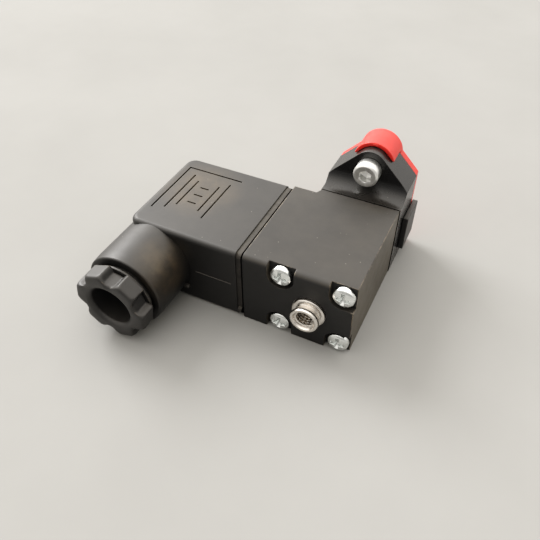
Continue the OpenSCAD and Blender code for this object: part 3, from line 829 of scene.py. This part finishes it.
def add_gland_nut():
    """Compression nut with six grip lobes, a round collar behind them and a male thread inside the barrel."""
    box = Box("gland_nut")
    front = box.low.y
    back = box.high.y
    collar_y = front + 4.9 * MM
    end_y = collar_y + 0.7 * MM
    collar_r = 9.1 * MM
    hole_r = 5.6 * MM
    thread_r = 7.95 * MM
    root_r = 7.15 * MM
    pitch = 1.5 * MM
    grip = {"flat_r": 9.75 * MM, "root_r": 8.15 * MM, "lobes": 6, "turn": math.radians(-10)}
    top_half, floor_half, softening = 13.5, 21, 6

    def outline(inset, soft=0.0):
        """The grip's outline, inset in mm, with walls that lean more as soft goes from 0 to 1."""
        top = math.radians(top_half - softening * soft)
        floor = math.radians(floor_half + softening * soft)
        return lobed(top_half=top, floor_half=floor, inset=inset * MM, **grip)

    rings = [
        (front, hole_r + 1.15 * MM),
        (front, outline(0.9, 1.0)),
        (front + 0.08 * MM, outline(0.5, 1.0)),
        (front + 0.25 * MM, outline(0.2, 0.9)),
        (front + 0.5 * MM, outline(0.05, 0.6)),
        (front + 0.9 * MM, outline(0.0, 0.3)),
        (front + 1.4 * MM, outline(0.0)),
        (collar_y - 0.5 * MM, outline(0.0)),
        (collar_y - 0.2 * MM, outline(0.08)),
        (collar_y, outline(0.3)),
        (collar_y, collar_r - 0.15 * MM),
        (collar_y + 0.15 * MM, collar_r),
        (end_y - 0.12 * MM, collar_r),
        (end_y, collar_r - 0.15 * MM),
        (end_y, thread_r - 0.1 * MM),
        (end_y + 1.0 * MM, thread_r - 0.1 * MM),
    ]
    rings += thread_rings(end_y + 1.1 * MM, back - 0.5 * MM, root_r, thread_r, pitch, steps=12)
    rings += [
        (back, thread_r - 0.6 * MM),
        (back, hole_r + 0.3 * MM),
        (back - 0.3 * MM, hole_r),
        (front + 1.2 * MM, hole_r),
        (front + 0.8 * MM, hole_r + 0.12 * MM),
        (front + 0.35 * MM, hole_r + 0.5 * MM),
        (front + 0.08 * MM, hole_r + 0.95 * MM),
    ]
    nut = turned("compression_nut", "nut_plastic", box.middle, rings, segments=288, loop=True)
    stand_for(nut, "gland_nut")


def add_return_spring():
    """A wound spring with closed ends."""
    box = Box("return_spring")
    wire_r = 0.25 * MM
    coil_r = box.half.x - wire_r
    length = box.high.y - box.low.y
    turns = 5.5
    closed = 0.75
    steps = 132
    sides = 10
    bm = bmesh.new()
    rows = []
    for k in range(steps + 1):
        angle = 2 * math.pi * turns * k / steps
        climb = min(1, max(0, (turns * k / steps - closed) / (turns - 2 * closed)))
        along = box.low.y + wire_r + (length - 2 * wire_r) * climb
        row = []
        for i in range(sides):
            around = 2 * math.pi * i / sides
            r = coil_r + wire_r * math.cos(around)
            y = along + wire_r * math.sin(around)
            row.append(bm.verts.new((r * math.cos(angle), y, r * math.sin(angle))))
        rows.append(row)
    for first, second in zip(rows, rows[1:]):
        bridge(bm, first, second)
    bm.faces.new(rows[0])
    bm.faces.new(rows[-1])
    bmesh.ops.recalc_face_normals(bm, faces=bm.faces)
    spring = new_object(bm, "wound_spring", SLOT_OF["return_spring"])
    stand_for(spring, "return_spring")
    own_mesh(spring)


# ---- small moulded details ------------------------------------------------
def add_mark(name, node, finish, at, size):
    """A low, soft-edged spot moulded on a CAD node: a box whose edges are drawn in until it is round."""
    bm = bmesh.new()
    bmesh.ops.create_cube(bm, size=1.0)
    for vert in bm.verts:
        vert.co = Vector((vert.co.x * size[0], vert.co.y * size[1], vert.co.z * size[2]))
    obj = new_object(bm, name, finish)
    obj.location = Vector(at)
    bevel = obj.modifiers.new("edge", "BEVEL")
    bevel.width = 0.3 * min(size)
    bevel.segments = 4
    subdivide = obj.modifiers.new("round", "SUBSURF")
    subdivide.levels = 2
    subdivide.render_levels = 2
    shade_smooth(obj)
    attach(obj, body_with(node))


def add_moulding_marks():
    """The parting line and the latch nub on the connector's front, and the gate mark on the red lip."""
    shell = Box("connector_housing")
    cover = Box("protective_cover")
    barrel_x = Box("gland_nut").middle.x
    front_y = Box("coil_housing").low.y
    line_start = barrel_x + 12.5 * MM
    line_end = shell.high.x - 1.5 * MM
    line_at = ((line_start + line_end) / 2, front_y, 0.0)
    line_size = (line_end - line_start, 0.36 * MM, 0.24 * MM)
    add_mark("parting_line", "connector_housing", "flash", line_at, line_size)
    nub_at = (barrel_x + 9.3 * MM, front_y - 0.2 * MM, -6.35 * MM)
    nub_size = (1.7 * MM, 1.5 * MM, 1.1 * MM)
    add_mark("latch_nub", "connector_housing", "flash", nub_at, nub_size)
    gate_at = (0.0, cover.low.y + 0.02 * MM, cover.high.z - 0.6 * MM)
    gate_size = (1.5 * MM, 0.3 * MM, 0.55 * MM)
    add_mark("gate_mark", "protective_cover", "red_plastic", gate_at, gate_size)


# ---- floor, light and camera ----------------------------------------------
def bench_material():
    """Pale grey bench top, matt, with faint clouds."""
    mat, tree, shader = new_material("bench")
    colour = ramp(tree, noise(tree, 14, 6, 0.6), [(0.35, (0.32, 0.317, 0.305)), (0.65, (0.34, 0.337, 0.325))])
    link(tree, colour, shader.inputs["Base Color"])
    shader.inputs["Roughness"].default_value = 0.9
    shader.inputs["Specular IOR Level"].default_value = 0.15
    return mat


def add_floor(level, reach):
    corners = [(-reach, -reach, level), (reach, -reach, level), (reach, reach, level), (-reach, reach, level)]
    mesh = bpy.data.meshes.new("bench_top")
    mesh.from_pydata(corners, [], [(0, 1, 2, 3)])
    floor = bpy.data.objects.new("bench_top", mesh)
    bpy.context.scene.collection.objects.link(floor)
    mesh.materials.append(bench_material())


def add_window(at, side, power, colour):
    """A square lamp that looks at the origin."""
    lamp = bpy.data.lights.new("window", "AREA")
    lamp.shape = "RECTANGLE"
    lamp.size = side
    lamp.size_y = side
    lamp.energy = power
    lamp.color = colour
    obj = bpy.data.objects.new("window", lamp)
    bpy.context.scene.collection.objects.link(obj)
    obj.location = at
    obj.rotation_euler = (-Vector(at)).to_track_quat("-Z", "Y").to_euler()


def add_world(dim, bright, direction, colour):
    """A room that is dim on the camera's side and brighter towards the direction of the windows."""
    world = bpy.data.worlds.new("room")
    world.use_nodes = True
    tree = world.node_tree
    background = tree.nodes["Background"]
    dot = tree.nodes.new("ShaderNodeVectorMath")
    dot.operation = "DOT_PRODUCT"
    link(tree, tree.nodes.new("ShaderNodeTexCoord").outputs["Generated"], dot.inputs[0])
    dot.inputs[1].default_value = Vector(direction).normalized()
    strength = span(tree, dot.outputs["Value"], dim, bright, -0.2, 0.9)
    link(tree, strength, background.inputs["Strength"])
    background.inputs["Color"].default_value = (*colour, 1)
    bpy.context.scene.world = world


def add_camera(floor_level):
    """Seen from the front, 26 degrees to the right of the solenoid axis and 44 degrees down."""
    azimuth, elevation, roll = 25.75, 44.29, 0.14
    target = Vector((-19.76 * MM, -28.72 * MM, floor_level))
    distance = 165.6 * MM
    turn = Euler((math.radians(90 - elevation), 0, math.radians(azimuth))).to_matrix()
    camera = bpy.data.cameras.new("camera")
    camera.sensor_width = 36
    camera.lens = 38.15
    camera.clip_start = 5 * MM
    obj = bpy.data.objects.new("camera", camera)
    bpy.context.scene.collection.objects.link(obj)
    obj.location = target + turn @ Vector((0, 0, distance))
    tilt = Euler((0, 0, math.radians(roll))).to_matrix()
    obj.rotation_euler = (turn @ tilt).to_euler()
    bpy.context.scene.camera = obj


def darken_shadows(view):
    """A soft toe, as a phone camera gives: the darkest tones go darker, and the rest stay much the same."""
    view.use_curve_mapping = True
    tone = view.curve_mapping.curves[3]
    for dim, shown in ((0.02, 0.009), (0.05, 0.032), (0.12, 0.108), (0.3, 0.3), (0.6, 0.61)):
        tone.points.new(dim, shown)
    view.curve_mapping.update()


for node_name, node_obj in frame["nodes"].items():
    finish_cad_node(node_name, node_obj)
add_mounting_screw()
add_body_screws()
add_core_nipple()
add_return_spring()
add_gland_nut()
add_moulding_marks()

floor_z = cad_box[0][2]
add_floor(floor_z, reach=1.5)
add_world(dim=0.4, bright=2.1, direction=(-0.3, 0.42, 0.86), colour=(1.0, 0.965, 0.915))
add_window(at=(-2.2, 0.8, 1.7), side=1.3, power=80, colour=(1.0, 0.99, 0.985))
add_camera(floor_z)
bpy.context.scene.view_settings.view_transform = "Standard"
darken_shadows(bpy.context.scene.view_settings)
